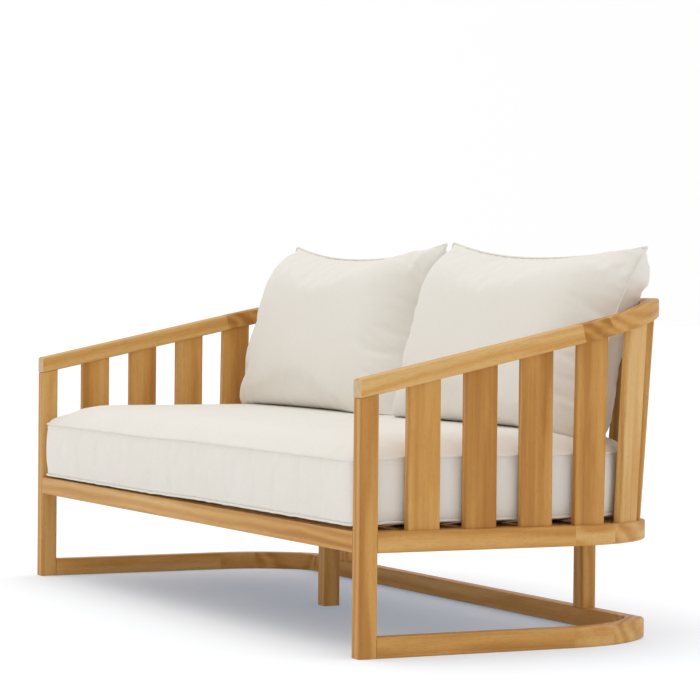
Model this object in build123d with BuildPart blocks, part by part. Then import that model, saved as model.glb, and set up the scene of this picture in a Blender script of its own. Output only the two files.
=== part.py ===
from build123d import *
from collections import namedtuple
from math import atan, cos, degrees, radians, sin
import os

os.makedirs("parts", exist_ok=True)

# A wooden patio loveseat with one seat cushion and two loose back cushions.
# Lengths are in millimetres and angles in degrees. X runs along the length, Y from front to back
# and Z up from the floor. Left and right are as seen by someone who faces the front, with right at +X.
# The origin is on the floor under the middle of the frame.

# Overall sizes
overall_length = 2000
overall_depth = 844          # posts' front faces to the back of the top rail
back_overhang = 32           # how far the top rail's back stands behind the two lower rings
seat_top = 276               # top of the seat ring and of the deck slats
arm_top = 609                # top of the arms at the posts' front faces
arm_slope = 0.2163           # rise of the top rail for each unit of depth

# Rails
rail_width = 38
rail_height = 46
arm_height = 43              # measured plumb
edge_round = 3
edge_chamfer = 3
slat_chamfer = 2.5

# Rear corners, in plan: a wide arc from the side, then a tight arc into the back
side_turn = 50
outer_side_radius = 320
outer_back_radius = 45
inner_side_radius = 256
inner_back_radius = 75

# Joints between the rails and the corner blocks
ring_joint_lead = 11         # in front of the bend, as is the next
arm_joint_lead = 27
ring_block_turn = 19
arm_block_turn = 9
arm_block_tilt = 27
back_joint_inset = 200

# Posts and legs
post_depth = 44
rear_leg_width = 43
rear_leg_inset = 367
centre_leg_width = 38
centre_leg_depth = 44
centre_leg_place_share = 0.516

# Slats
slat_width = 80
slat_thickness = 20
first_slat_setback = 162
last_side_slat_lead = 108    # from the last straight slat to the bend of the seat ring
side_slat_spacing = 143      # about this far apart, as is the next
back_row_inset = 230
back_slat_spacing = 140
joint_slat_turns = (6, 1, 4)         # place on the seat ring, place on the top rail, facing
wide_arc_slat_turns = (31, 28, 30)
wide_arc_slat_inset = 17
tight_arc_slat_turns = (63, 63, 63)
tight_arc_slat_inset = 24.5

# Joinery
fit_gap = 0.2
tenon_depth = 14
slat_tenon_width = 44
slat_tenon_thickness = 10
rail_tenon_width = 12
rail_tenon_height = 28
leg_tenon_width = 24
leg_tenon_depth = 20
bearer_tenon_height = 20
loose_tenon_length = 40
loose_tenon_width = 20
loose_tenon_thickness = 8
loose_tenon_raise = 5

# Seat deck
bearer_width = 38
deck_slat_width = 62
deck_slat_thickness = 14
deck_slats = 9
deck_end_gap = 1
deck_chamfer = 2
cleat_width = 22
cleat_height = 20
cleat_setback = 60

# Cushions
rest_gap = 0.3
cushion_side_gap = 5
cushion_front_setback = 6
cushion_rear_gap = 6
cushion_side_radius = 240
cushion_back_radius = 70
cushion_front_radius = 24
cushion_hem_rise = 11
cushion_boxing_height = 142
cushion_crown_rise = 53
cushion_crown_inset = 200
cushion_hem_inset = 40
boxing_bulge = 4

pillow_inner_place = 20
pillow_outer_inset = 75
pillow_foot_inset = 215      # from the back of the top rail to the foot of the knife edge
pillow_height = 463
pillow_lean = 18
pillow_front_depth = 105
pillow_rear_depth = 90
pillow_crown_inset = 170
pillow_top_sag = 42
pillow_side_sag = 40
pillow_base_drop = 12
pillow_corner_gap = 5        # clear of the curved corners of the top rail

# Crowns. Each one is a row of outlines on a rounded profile, and a higher power makes it boxier.
crown_steps = 5
seat_crown_power = 4
pillow_crown_power = 5
crown_edge_share = 0.1       # part of a pillow's edge sag that is left at the middle of its crown

# Values that follow from the sizes above
half_length = overall_length / 2
front_y = -overall_depth / 2
back_y = overall_depth / 2
ring_depth = overall_depth - back_overhang
corner_rise = (outer_side_radius - outer_back_radius) * sin(radians(side_turn))
ring_bend_setback = ring_depth - outer_back_radius - corner_rise
arm_bend_setback = overall_depth - outer_back_radius - corner_rise
back_joint_place = half_length - back_joint_inset
rear_leg_place = half_length - rear_leg_inset
centre_leg_setback = ring_depth * centre_leg_place_share
bearer_place = half_length / 2
cushion_side_place = half_length - rail_width - cushion_side_gap
cushion_rear_setback = ring_depth - rail_width - cushion_rear_gap
lower_seam_height = seat_top + cushion_hem_rise
upper_seam_height = lower_seam_height + cushion_boxing_height
cushion_crown_height = upper_seam_height + cushion_crown_rise
pillow_outer_place = half_length - pillow_outer_inset
pillow_foot_setback = overall_depth - pillow_foot_inset
side_slat_span = ring_bend_setback - last_side_slat_lead - first_slat_setback
side_slat_steps = max(round(side_slat_span / side_slat_spacing), 1)
side_slat_pitch = side_slat_span / side_slat_steps
back_row_length = 2 * (half_length - back_row_inset)
back_slat_steps = max(round(back_row_length / back_slat_spacing), 1)
back_slat_pitch = back_row_length / back_slat_steps
seat_ring_base = seat_top - rail_height
slat_inset = rail_width / 2
side_x = half_length - slat_inset
ring_rear_y = front_y + ring_depth
arm_pitch = degrees(atan(arm_slope))
deck_base = seat_top - deck_slat_thickness
slope_direction = (0, cos(radians(arm_pitch)), sin(radians(arm_pitch)))
slope_normal = (0, -sin(radians(arm_pitch)), cos(radians(arm_pitch)))
arm_upper_face = Plane(origin=(0, front_y, arm_top), x_dir=(1, 0, 0), z_dir=slope_normal)
arm_lower_face = Plane(origin=(0, front_y, arm_top - arm_height), x_dir=(1, 0, 0), z_dir=slope_normal)

Slat = namedtuple("Slat", "foot head facing")


def arm_base(y):
    """Height of the top rail's underside."""
    return arm_top - arm_height + arm_slope * (y - front_y)


def corner_point(depth, turn, inset):
    """Point in plan on a right rear corner, this far inside its outer face."""
    x = half_length - outer_side_radius
    y = front_y + depth - outer_back_radius - corner_rise
    radius = outer_side_radius
    if turn > side_turn:
        x += (outer_side_radius - outer_back_radius) * cos(radians(side_turn))
        y += corner_rise
        radius = outer_back_radius
    return Vector(x, y) + Vector(radius - inset, 0).rotate(Axis.Z, turn)


def plan_path(start_y, edge_x, rear_y, side_radius, back_radius):
    """Right half of an edge in plan: straight side, wide arc, tight arc and straight back."""
    corner_y = rear_y - back_radius - (side_radius - back_radius) * sin(radians(side_turn))
    side = Line((edge_x, start_y), (edge_x, corner_y))
    wide = JernArc(side @ 1, side % 1, side_radius, side_turn)
    tight = JernArc(wide @ 1, wide % 1, back_radius, 90 - side_turn)
    Line(tight @ 1, (0, rear_y))


def half_ring(depth):
    """Plan of the right half of a ring whose back face is this far behind the posts' fronts."""
    rear_y = front_y + depth
    inner_x = half_length - rail_width
    inner_y = rear_y - rail_width
    with BuildSketch() as plan:
        with BuildLine():
            plan_path(front_y, half_length, rear_y, outer_side_radius, outer_back_radius)
            plan_path(front_y, inner_x, inner_y, inner_side_radius, inner_back_radius)
            Line((half_length, front_y), (inner_x, front_y))
            Line((0, rear_y), (0, inner_y))
        make_face()
    return plan.sketch


def inside_plan(depth, gap):
    """Plan of the space inside a ring, this far clear of its inner faces."""
    edge_x = half_length - rail_width - gap
    rear_y = front_y + depth - rail_width - gap
    with BuildSketch() as plan:
        with BuildLine():
            plan_path(front_y, edge_x, rear_y, inner_side_radius - gap, inner_back_radius - gap)
            Line((0, front_y), (edge_x, front_y))
            mirror(about=Plane.YZ)
        make_face()
    return plan.sketch


def long_edges(faces):
    """Edges of the faces, without the ends where the two halves of a band meet."""
    return ShapeList(edge for face in faces for edge in face.edges() if edge.center().X > edge_chamfer)


def lower_band(base):
    """Right half of the floor ring or the seat ring, before it is cut into pieces."""
    with BuildPart() as band:
        with BuildSketch(Plane.XY.offset(base)):
            add(half_ring(ring_depth))
        extrude(amount=rail_height)
        faces = band.faces().sort_by(Axis.Z)
        chamfer(long_edges([faces[0], faces[-1]]), edge_chamfer)
    return band.part


def upper_band():
    """Right half of the top rail, which rises to the back, before it is cut into pieces."""
    with BuildPart() as band:
        with BuildSketch(Plane.XY.offset(seat_top)):
            add(half_ring(overall_depth))
        extrude(amount=arm_top + arm_slope * overall_depth)
        split(bisect_by=arm_upper_face, keep=Keep.BOTTOM)
        split(bisect_by=arm_lower_face, keep=Keep.TOP)
        slope_axis = Axis((0, 0, 0), slope_normal)
        faces = band.faces().sort_by(slope_axis)
        chamfer(long_edges([faces[0], faces[-1]]), edge_chamfer)
    return band.part


def tongue(plane, width, height, depth, slack=0):
    """A square tenon that stands on a plane or, with some slack, the mortise that takes it."""
    with BuildPart() as bar:
        with BuildSketch(plane):
            Rectangle(width + 2 * slack, height + 2 * slack)
        extrude(amount=depth + slack)
    return bar.part


def loose_tenon(plane, slack=0):
    """A loose tenon centred on a joint, or the pair of mortises that takes it."""
    middle = plane.offset(-loose_tenon_length / 2 - slack)
    return tongue(middle, loose_tenon_width, loose_tenon_thickness, loose_tenon_length + slack, slack)


def slat_bar(slat, section, beyond):
    """A straight bar on a slat's line, this far past the seat ring and past the top rail's underside."""
    foot = Vector(slat.foot.X, slat.foot.Y, seat_top)
    head = Vector(slat.head.X, slat.head.Y, arm_base(slat.head.Y))
    line = head - foot
    start = foot - line.normalized() * slat_width
    along = Vector(0, 1, 0).rotate(Axis.Z, slat.facing)
    with BuildPart() as bar:
        with BuildSketch(Plane(origin=start, x_dir=along, z_dir=line)):
            add(section)
        extrude(amount=line.length + 2 * slat_width)
        split(bisect_by=Plane.XY.offset(seat_top - beyond), keep=Keep.TOP)
        split(bisect_by=arm_lower_face.offset(beyond), keep=Keep.BOTTOM)
    return bar.part


def slat_mortise(slat):
    """The mortises that take a slat's two tenons, as one bar."""
    return slat_bar(slat, mortise_section, tenon_depth + fit_gap)


def corner_slat(turns, inset):
    """A slat on a rear corner: its turn on the seat ring, its turn on the top rail and its facing."""
    foot_turn, head_turn, facing = turns
    foot = corner_point(ring_depth, foot_turn, inset)
    head = corner_point(overall_depth, head_turn, inset)
    return Slat(foot, head, facing)


def save(piece, name):
    """Label a finished piece and write it as its own file."""
    piece.part.label = name
    export_step(piece.part, f"parts/{name}.step")


def save_pair(piece, name, number=""):
    """Write a right-hand piece and its mirror image on the left."""
    save(piece, f"{name}_right{number}")
    with BuildPart() as twin:
        mirror(piece.part, about=Plane.YZ)
    save(twin, f"{name}_left{number}")


# Slat sections
with BuildSketch() as slat_sketch:
    Rectangle(slat_width, slat_thickness)
    chamfer(slat_sketch.vertices(), slat_chamfer)
with BuildSketch() as tenon_sketch:
    Rectangle(slat_tenon_width, slat_tenon_thickness)
with BuildSketch() as mortise_sketch:
    Rectangle(slat_tenon_width + 2 * fit_gap, slat_tenon_thickness + 2 * fit_gap)
mortise_section = mortise_sketch.sketch

# Slat places
side_slats = []
for number in range(side_slat_steps + 1):
    place = Vector(side_x, front_y + first_slat_setback + number * side_slat_pitch)
    side_slats.append(Slat(place, place, 0))
joint_slat = corner_slat(joint_slat_turns, slat_inset)
corner_slats = [
    corner_slat(wide_arc_slat_turns, wide_arc_slat_inset),
    corner_slat(tight_arc_slat_turns, tight_arc_slat_inset),
]
back_row = []
for number in range(back_slat_steps + 1):
    x = number * back_slat_pitch - back_row_length / 2
    foot = Vector(x, ring_rear_y - slat_inset)
    head = Vector(x, front_y + overall_depth - slat_inset)
    back_row.append(Slat(foot, head, 90))


# Slats, each with a tenon at both ends
def make_slat(slat):
    """A slat with its two tenons."""
    with BuildPart() as board:
        add(slat_bar(slat, slat_sketch.sketch, 0))
        add(slat_bar(slat, tenon_sketch.sketch, tenon_depth))
    return board


for number, slat in enumerate(side_slats + [joint_slat], start=1):
    save_pair(make_slat(slat), "side_slat", f"_{number}")
for number, slat in enumerate(corner_slats, start=1):
    save_pair(make_slat(slat), "corner_slat", f"_{number}")
for number, slat in enumerate(back_row, start=1):
    save(make_slat(slat), f"back_slat_{number}")


# Joint planes. Each one faces along its rail, away from the post.
def ring_joints(base):
    """Joints on the right half of a lower ring: side rail, corner blocks, back rail."""
    height = base + rail_height / 2
    side_y = front_y + ring_bend_setback - ring_joint_lead
    side = Plane(origin=(side_x, side_y, height), x_dir=(1, 0, 0), z_dir=(0, 1, 0))
    point = corner_point(ring_depth, ring_block_turn, slat_inset)
    outward = Vector(1, 0, 0).rotate(Axis.Z, ring_block_turn)
    onward = Vector(0, 1, 0).rotate(Axis.Z, ring_block_turn)
    block = Plane(origin=(point.X, point.Y, height), x_dir=outward, z_dir=onward)
    rear = (back_joint_place, ring_rear_y - slat_inset, height)
    back = Plane(origin=rear, x_dir=(0, 1, 0), z_dir=(-1, 0, 0))
    return [side, block, back]


def arm_joints():
    """Joints on the right half of the top rail, the first of them square to its slope."""
    raised = arm_height / 2 + loose_tenon_raise
    side_y = front_y + arm_bend_setback - arm_joint_lead
    side = Plane(origin=(side_x, side_y, arm_base(side_y) + raised), x_dir=(1, 0, 0), z_dir=slope_direction)
    point = corner_point(overall_depth, arm_block_turn, slat_inset)
    outward = Vector(1, 0, 0).rotate(Axis.Z, arm_block_turn)
    onward = Vector(0, 1, 0).rotate(Axis.X, arm_block_tilt).rotate(Axis.Z, arm_block_turn)
    block = Plane(origin=(point.X, point.Y, arm_base(point.Y) + raised), x_dir=outward, z_dir=onward)
    rear_y = front_y + overall_depth - slat_inset
    rear = (back_joint_place, rear_y, arm_base(rear_y) + raised)
    back = Plane(origin=rear, x_dir=(0, 1, 0), z_dir=(-1, 0, 0))
    return [side, block, back]


def mirrored(plane):
    """The same joint on the left side."""
    origin = Vector(-plane.origin.X, plane.origin.Y, plane.origin.Z)
    x_dir = Vector(-plane.x_dir.X, plane.x_dir.Y, plane.x_dir.Z)
    z_dir = Vector(-plane.z_dir.X, plane.z_dir.Y, plane.z_dir.Z)
    return Plane(origin=origin, x_dir=x_dir, z_dir=z_dir)


# Tenon planes. Each one is a shoulder and faces the way the tenon points.
seat_ring_middle = seat_ring_base + rail_height / 2
post_x = side_x
post_y = front_y + post_depth / 2
rear_middle_y = ring_rear_y - slat_inset
bearer_height = deck_base - seat_ring_base
bearer_middle = seat_ring_base + bearer_height / 2
inner_x = half_length - rail_width
arm_shoulder = Plane(
    origin=(post_x, post_y, arm_base(post_y)), x_dir=(1, 0, 0), z_dir=slope_normal
)
front_rail_origin = (inner_x, front_y + rail_width / 2, seat_ring_middle)
front_rail_shoulder = Plane(origin=front_rail_origin, x_dir=(0, 1, 0), z_dir=(1, 0, 0))
seat_rail_origin = (post_x, front_y + post_depth, seat_ring_middle)
seat_rail_shoulder = Plane(origin=seat_rail_origin, x_dir=(1, 0, 0), z_dir=(0, -1, 0))
floor_rail_origin = (post_x, front_y + post_depth, rail_height / 2)
floor_rail_shoulder = Plane(origin=floor_rail_origin, x_dir=(1, 0, 0), z_dir=(0, -1, 0))
leg_top_shoulder = Plane(origin=(rear_leg_place, rear_middle_y, seat_ring_base))
leg_foot_shoulder = Plane(
    origin=(rear_leg_place, rear_middle_y, rail_height), x_dir=(1, 0, 0), z_dir=(0, 0, -1)
)
centre_leg_shoulder = Plane(origin=(0, front_y + centre_leg_setback, seat_ring_base))


def bearer_shoulders(x):
    """Front and back shoulders of one bearer."""
    front = Plane(origin=(x, front_y + rail_width, bearer_middle), x_dir=(1, 0, 0), z_dir=(0, -1, 0))
    rear = Plane(origin=(x, ring_rear_y - rail_width, bearer_middle), x_dir=(1, 0, 0), z_dir=(0, 1, 0))
    return front, rear


bearer_places = [-bearer_place, 0, bearer_place]
rail_tenon = (rail_tenon_width, rail_tenon_height, tenon_depth)
post_tenon = (leg_tenon_depth, leg_tenon_width, tenon_depth)
leg_tenon = (leg_tenon_width, leg_tenon_depth, tenon_depth)
bearer_tenon = (rail_tenon_width, bearer_tenon_height, tenon_depth)

# Front posts
post_mortises = [
    tongue(front_rail_shoulder, *rail_tenon, fit_gap),
    tongue(seat_rail_shoulder, *rail_tenon, fit_gap),
    tongue(floor_rail_shoulder, *rail_tenon, fit_gap),
]
with BuildPart() as front_post:
    with BuildSketch(Plane(origin=(post_x, post_y, 0))):
        RectangleRounded(rail_width, post_depth, edge_round)
    extrude(amount=arm_top)
    split(bisect_by=arm_lower_face, keep=Keep.BOTTOM)
    add(tongue(arm_shoulder, *post_tenon))
    add(post_mortises, mode=Mode.SUBTRACT)
save_pair(front_post, "front_post")

# Rear legs, between the two back rails
with BuildPart() as rear_leg:
    with BuildSketch(Plane(origin=(rear_leg_place, rear_middle_y, rail_height))):
        RectangleRounded(rear_leg_width, rail_width, edge_round)
    extrude(amount=seat_ring_base - rail_height)
    add(tongue(leg_top_shoulder, *leg_tenon))
    add(tongue(leg_foot_shoulder, *leg_tenon))
save_pair(rear_leg, "rear_leg")

# Centre leg, from the floor to the middle bearer
with BuildPart() as centre_leg:
    with BuildSketch(Plane(origin=(0, front_y + centre_leg_setback, 0))):
        RectangleRounded(centre_leg_width, centre_leg_depth, edge_round)
    extrude(amount=seat_ring_base)
    add(tongue(centre_leg_shoulder, *leg_tenon))
save(centre_leg, "centre_leg")


# Rails and corner blocks
def cut_piece(band, start, end, cutters, tenons=()):
    """The stretch of a band between two joint planes, with its mortises cut and its tenons added."""
    with BuildPart() as piece:
        add(band)
        split(bisect_by=start, keep=Keep.TOP)
        split(bisect_by=end, keep=Keep.BOTTOM)
        if tenons:
            add(tenons)
        add(cutters, mode=Mode.SUBTRACT)
    return piece


def save_band(band, joints, names, slat_groups, start, tenons, cutters):
    """Cut one half ring into its side rail and corner blocks and write them with their mirror images."""
    side, block, back = joints
    slots = [loose_tenon(joint, fit_gap) for joint in joints]
    rail_cutters = cutters + [slots[0]] + [slat_mortise(slat) for slat in slat_groups[0]]
    front_cutters = slots[0:2] + [slat_mortise(slat) for slat in slat_groups[1]]
    rear_cutters = slots[1:3] + [slat_mortise(slat) for slat in slat_groups[2]]
    save_pair(cut_piece(band, start, side, rail_cutters, tenons), names[0])
    save_pair(cut_piece(band, side, block, front_cutters), names[1])
    save_pair(cut_piece(band, block, back, rear_cutters), names[2])


post_back = Plane(origin=(post_x, front_y + post_depth, 0), x_dir=(1, 0, 0), z_dir=(0, 1, 0))
arm_front = Plane(origin=(post_x, front_y, 0), x_dir=(1, 0, 0), z_dir=(0, 1, 0))
slat_groups = (side_slats, [joint_slat], corner_slats)

floor_joints = ring_joints(0)
floor_names = ("floor_side_rail", "floor_front_corner", "floor_rear_corner")
floor_tenons = [tongue(floor_rail_shoulder, *rail_tenon)]
save_band(lower_band(0), floor_joints, floor_names, ([], [], []), post_back, floor_tenons, [])

seat_joints = ring_joints(seat_ring_base)
seat_names = ("seat_side_rail", "seat_front_corner", "seat_rear_corner")
seat_tenons = [tongue(seat_rail_shoulder, *rail_tenon)]
seat_band = lower_band(seat_ring_base)
save_band(seat_band, seat_joints, seat_names, slat_groups, post_back, seat_tenons, [])

top_joints = arm_joints()
top_names = ("arm_rail", "arm_front_corner", "arm_rear_corner")
arm_mortise = tongue(arm_shoulder, *post_tenon, fit_gap)
save_band(upper_band(), top_joints, top_names, slat_groups, arm_front, (), [arm_mortise])


# Back rails, between the two rear corners
def back_rail(band, joint, cutters):
    """The straight stretch of a ring along the back, from one rear corner to the other."""
    slot = loose_tenon(joint, fit_gap)
    with BuildPart() as rail:
        add(band)
        split(bisect_by=joint, keep=Keep.TOP)
        mirror(about=Plane.YZ)
        add(slot, mode=Mode.SUBTRACT)
        add(mirror(slot, about=Plane.YZ, mode=Mode.PRIVATE), mode=Mode.SUBTRACT)
        add(cutters, mode=Mode.SUBTRACT)
    return rail


leg_foot_mortise = tongue(leg_foot_shoulder, *leg_tenon, fit_gap)
leg_top_mortise = tongue(leg_top_shoulder, *leg_tenon, fit_gap)
leg_foot_mortises = [leg_foot_mortise, mirror(leg_foot_mortise, about=Plane.YZ)]
leg_top_mortises = [leg_top_mortise, mirror(leg_top_mortise, about=Plane.YZ)]
back_slat_mortises = [slat_mortise(slat) for slat in back_row]
front_bearer_mortises = []
rear_bearer_mortises = []
for x in bearer_places:
    front_shoulder, rear_shoulder = bearer_shoulders(x)
    front_bearer_mortises.append(tongue(front_shoulder, *bearer_tenon, fit_gap))
    rear_bearer_mortises.append(tongue(rear_shoulder, *bearer_tenon, fit_gap))

save(back_rail(lower_band(0), floor_joints[2], leg_foot_mortises), "floor_back_rail")
seat_back_cutters = back_slat_mortises + leg_top_mortises + rear_bearer_mortises
save(back_rail(seat_band, seat_joints[2], seat_back_cutters), "seat_back_rail")
save(back_rail(upper_band(), top_joints[2], back_slat_mortises), "top_back_rail")

# Front rail of the seat, between the posts
with BuildPart() as seat_front_rail:
    with BuildSketch(Plane(origin=(-inner_x, front_y + rail_width / 2, seat_ring_middle),
                           x_dir=(0, 1, 0), z_dir=(1, 0, 0))):
        RectangleRounded(rail_width, rail_height, edge_round)
    extrude(amount=2 * inner_x)
    add(tongue(front_rail_shoulder, *rail_tenon))
    add(tongue(mirrored(front_rail_shoulder), *rail_tenon))
    add(front_bearer_mortises, mode=Mode.SUBTRACT)
save(seat_front_rail, "seat_front_rail")

# Loose tenons across every joint of the three rings
with BuildPart() as loose_tenons:
    for joint in floor_joints + seat_joints + top_joints:
        add(loose_tenon(joint))
        add(loose_tenon(mirrored(joint)))
save(loose_tenons, "loose_tenons")

# Bearers from the front rail to the back rail. The centre leg carries the middle one.
leg_mortise = tongue(centre_leg_shoulder, *leg_tenon, fit_gap)
with BuildPart() as seat_bearers:
    for x in bearer_places:
        front_shoulder, rear_shoulder = bearer_shoulders(x)
        with BuildSketch(front_shoulder):
            Rectangle(bearer_width, bearer_height)
        extrude(amount=-(ring_depth - 2 * rail_width))
        add(tongue(front_shoulder, *bearer_tenon))
        add(tongue(rear_shoulder, *bearer_tenon))
    add(leg_mortise, mode=Mode.SUBTRACT)
save(seat_bearers, "seat_bearers")

# Cleats round the inside of the seat ring, under the ends of the deck slats
with BuildPart() as cleat:
    with BuildSketch(Plane.XY.offset(deck_base - cleat_height)):
        with BuildLine():
            start_y = front_y + cleat_setback
            outer_x = inner_x - fit_gap
            outer_y = ring_rear_y - rail_width - fit_gap
            plan_path(start_y, outer_x, outer_y, inner_side_radius - fit_gap, inner_back_radius - fit_gap)
            wide_radius = inner_side_radius - fit_gap - cleat_width
            tight_radius = inner_back_radius - fit_gap - cleat_width
            plan_path(start_y, outer_x - cleat_width, outer_y - cleat_width, wide_radius, tight_radius)
            Line((outer_x, start_y), (outer_x - cleat_width, start_y))
            Line((0, outer_y), (0, outer_y - cleat_width))
        make_face()
    extrude(amount=cleat_height)
    split(bisect_by=Plane.YZ.offset(back_joint_place), keep=Keep.TOP)
with BuildPart() as seat_cleats:
    add(cleat.part)
    mirror(cleat.part, about=Plane.YZ)
save(seat_cleats, "seat_cleats")

# Deck slats, trimmed to the inside of the seat ring
deck_front = front_y + rail_width
deck_rear = ring_rear_y - rail_width
deck_gap = (deck_rear - deck_front - deck_slats * deck_slat_width) / (deck_slats + 1)
deck_places = []
for number in range(deck_slats):
    y = deck_front + deck_gap + deck_slat_width / 2 + number * (deck_slat_width + deck_gap)
    deck_places.append((0, y))
deck_outline = inside_plan(ring_depth, deck_end_gap)
with BuildPart() as seat_deck_slats:
    with BuildSketch(Plane.XY.offset(deck_base)):
        with Locations(*deck_places):
            Rectangle(overall_length, deck_slat_width)
        add(deck_outline, mode=Mode.INTERSECT)
    extrude(amount=deck_slat_thickness)
    chamfer(seat_deck_slats.edges().group_by(Axis.Z)[-1], deck_chamfer)
save(seat_deck_slats, "seat_deck_slats")


# Seat cushion: boxed sides that bulge a little, a full crown above and a drawn-in hem below
def cushion_outline(height, inset):
    """Plan of the seat cushion at one height, drawn in by an inset."""
    edge_x = cushion_side_place - inset
    near_y = front_y + cushion_front_setback + inset
    rear_y = front_y + cushion_rear_setback - inset
    near_radius = cushion_front_radius + inset / 3
    with BuildSketch(Plane.XY.offset(height)) as outline:
        with BuildLine():
            near = Line((0, near_y), (edge_x - near_radius, near_y))
            near_corner = JernArc(near @ 1, (1, 0), near_radius, 90)
            side_radius = cushion_side_radius - inset / 2
            back_radius = cushion_back_radius - inset / 6
            plan_path((near_corner @ 1).Y, edge_x, rear_y, side_radius, back_radius)
            mirror(about=Plane.YZ)
        make_face()
    return outline.sketch


def crown_profile(power):
    """Depth and inset of a crown as shares, from its seam or knife edge to its middle."""
    profile = []
    for step in range(crown_steps + 1):
        inset_share = (step / crown_steps) ** 2
        profile.append((1 - (1 - inset_share) ** power, inset_share))
    return profile


seam_middle = (lower_seam_height + upper_seam_height) / 2
upper_crown = []
for depth_share, inset_share in crown_profile(seat_crown_power):
    height = upper_seam_height + cushion_crown_rise * depth_share
    upper_crown.append(cushion_outline(height, cushion_crown_inset * inset_share))
hem = [cushion_outline(seat_top + rest_gap, cushion_hem_inset), cushion_outline(lower_seam_height, 0)]
boxing = [
    cushion_outline(lower_seam_height, 0),
    cushion_outline(seam_middle, -boxing_bulge),
    cushion_outline(upper_seam_height, 0),
]
with BuildPart() as seat_cushion:
    loft(boxing, ruled=True)
    loft(upper_crown, ruled=True)
    loft(hem, ruled=True)
save(seat_cushion, "seat_cushion")


# Back cushions: two bulging halves on one knife edge, with pointed corners and drawn-in edges
def pillow_outline(depth, inset, sag_share):
    """Outline of the right pillow at one depth in front of its knife edge."""
    middle_x = (pillow_inner_place + pillow_outer_place) / 2
    origin = (middle_x, front_y + pillow_foot_setback, cushion_crown_height + rest_gap)
    lean = radians(pillow_lean)
    plane = Plane(origin=origin, x_dir=(1, 0, 0), z_dir=(0, -cos(lean), sin(lean)))
    half_width = (pillow_outer_place - pillow_inner_place) / 2 - inset
    top = pillow_height - inset
    base = inset - pillow_base_drop
    top_sag = pillow_top_sag * sag_share
    side_sag = pillow_side_sag * sag_share
    middle = (top + base) / 2
    with BuildSketch(plane.offset(depth)) as outline:
        with BuildLine():
            ThreePointArc((-half_width, top), (0, top - top_sag), (half_width, top))
            ThreePointArc((half_width, top), (half_width - side_sag, middle), (half_width, base))
            ThreePointArc((half_width, base), (0, base - side_sag), (-half_width, base))
            ThreePointArc((-half_width, base), (side_sag - half_width, middle), (-half_width, top))
        make_face()
    return outline.sketch


def pillow_sections(depth):
    """Outlines from the knife edge to the middle of the crown, this far in front of it."""
    sections = []
    for depth_share, inset_share in crown_profile(pillow_crown_power):
        sag_share = 1 - (1 - crown_edge_share) * depth_share
        sections.append(pillow_outline(depth * depth_share, pillow_crown_inset * inset_share, sag_share))
    return sections


front_half = pillow_sections(pillow_front_depth)
rear_half = pillow_sections(-pillow_rear_depth)
seat_face = Plane.XY.offset(cushion_crown_height + rest_gap)
rail_face = Plane.XZ.offset(rail_width - back_y)
slat_foot = (0, ring_rear_y - slat_inset - slat_thickness / 2, seat_top)
slat_lean_y = overall_depth - ring_depth
slat_rise = arm_base(back_y - slat_inset) - seat_top
slat_normal = Vector(0, slat_rise, -slat_lean_y).normalized()
slat_face = Plane(origin=slat_foot, x_dir=(1, 0, 0), z_dir=slat_normal).offset(-rest_gap)
rail_rear_top = arm_top + arm_slope * overall_depth
with BuildPart() as frame_space:
    with BuildSketch(Plane.XY.offset(seat_top)):
        Rectangle(2 * overall_length, 2 * overall_depth)
        add(inside_plan(overall_depth, pillow_corner_gap), mode=Mode.SUBTRACT)
    extrude(amount=rail_rear_top + rest_gap - seat_top)
with BuildPart() as back_cushion:
    loft(front_half, ruled=True)
    loft(rear_half, ruled=True)
    add(frame_space.part, mode=Mode.SUBTRACT)
    split(bisect_by=seat_face, keep=Keep.TOP)
    split(bisect_by=slat_face, keep=Keep.BOTTOM)
    split(bisect_by=rail_face.offset(rest_gap), keep=Keep.TOP)
save_pair(back_cushion, "back_cushion")
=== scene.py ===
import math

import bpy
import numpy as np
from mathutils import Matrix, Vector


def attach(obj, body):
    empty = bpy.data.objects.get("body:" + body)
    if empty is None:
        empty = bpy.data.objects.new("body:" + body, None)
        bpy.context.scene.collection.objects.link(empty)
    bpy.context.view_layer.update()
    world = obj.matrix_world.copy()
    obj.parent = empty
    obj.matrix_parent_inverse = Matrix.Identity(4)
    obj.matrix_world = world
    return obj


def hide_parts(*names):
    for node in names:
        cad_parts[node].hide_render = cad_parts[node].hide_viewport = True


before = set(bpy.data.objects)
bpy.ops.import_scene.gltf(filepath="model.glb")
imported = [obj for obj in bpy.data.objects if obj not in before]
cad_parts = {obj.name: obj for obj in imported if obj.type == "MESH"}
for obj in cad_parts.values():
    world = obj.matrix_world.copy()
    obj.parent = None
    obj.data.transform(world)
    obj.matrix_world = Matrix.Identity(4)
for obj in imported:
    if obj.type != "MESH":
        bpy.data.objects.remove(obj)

# %% [markdown]
# # A wooden patio loveseat and its cushions
# The solid model is already in place, in metres, with its origin on the floor under the middle of the
# frame: X along the length, Y from front to back and Z up. The wood keeps its modelled shape and gets a
# teak material here. The three cushions are sewn anew from cloth panels.

scene = bpy.context.scene
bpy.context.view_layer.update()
FRONT = -0.422          # front faces of the posts

# %% [markdown]
# ## Camera
# The place, direction and lens were solved from the edges and corners of the frame in the photograph.

# %% Place the camera
CAMERA_PLACE = Vector((6.4435, -3.1816, 0.7896))
CAMERA_TURN = 1.1058
CAMERA_TILT = -0.0192
CAMERA_ROLL = 0.0095
CAMERA_LENS = 145.08

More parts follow.
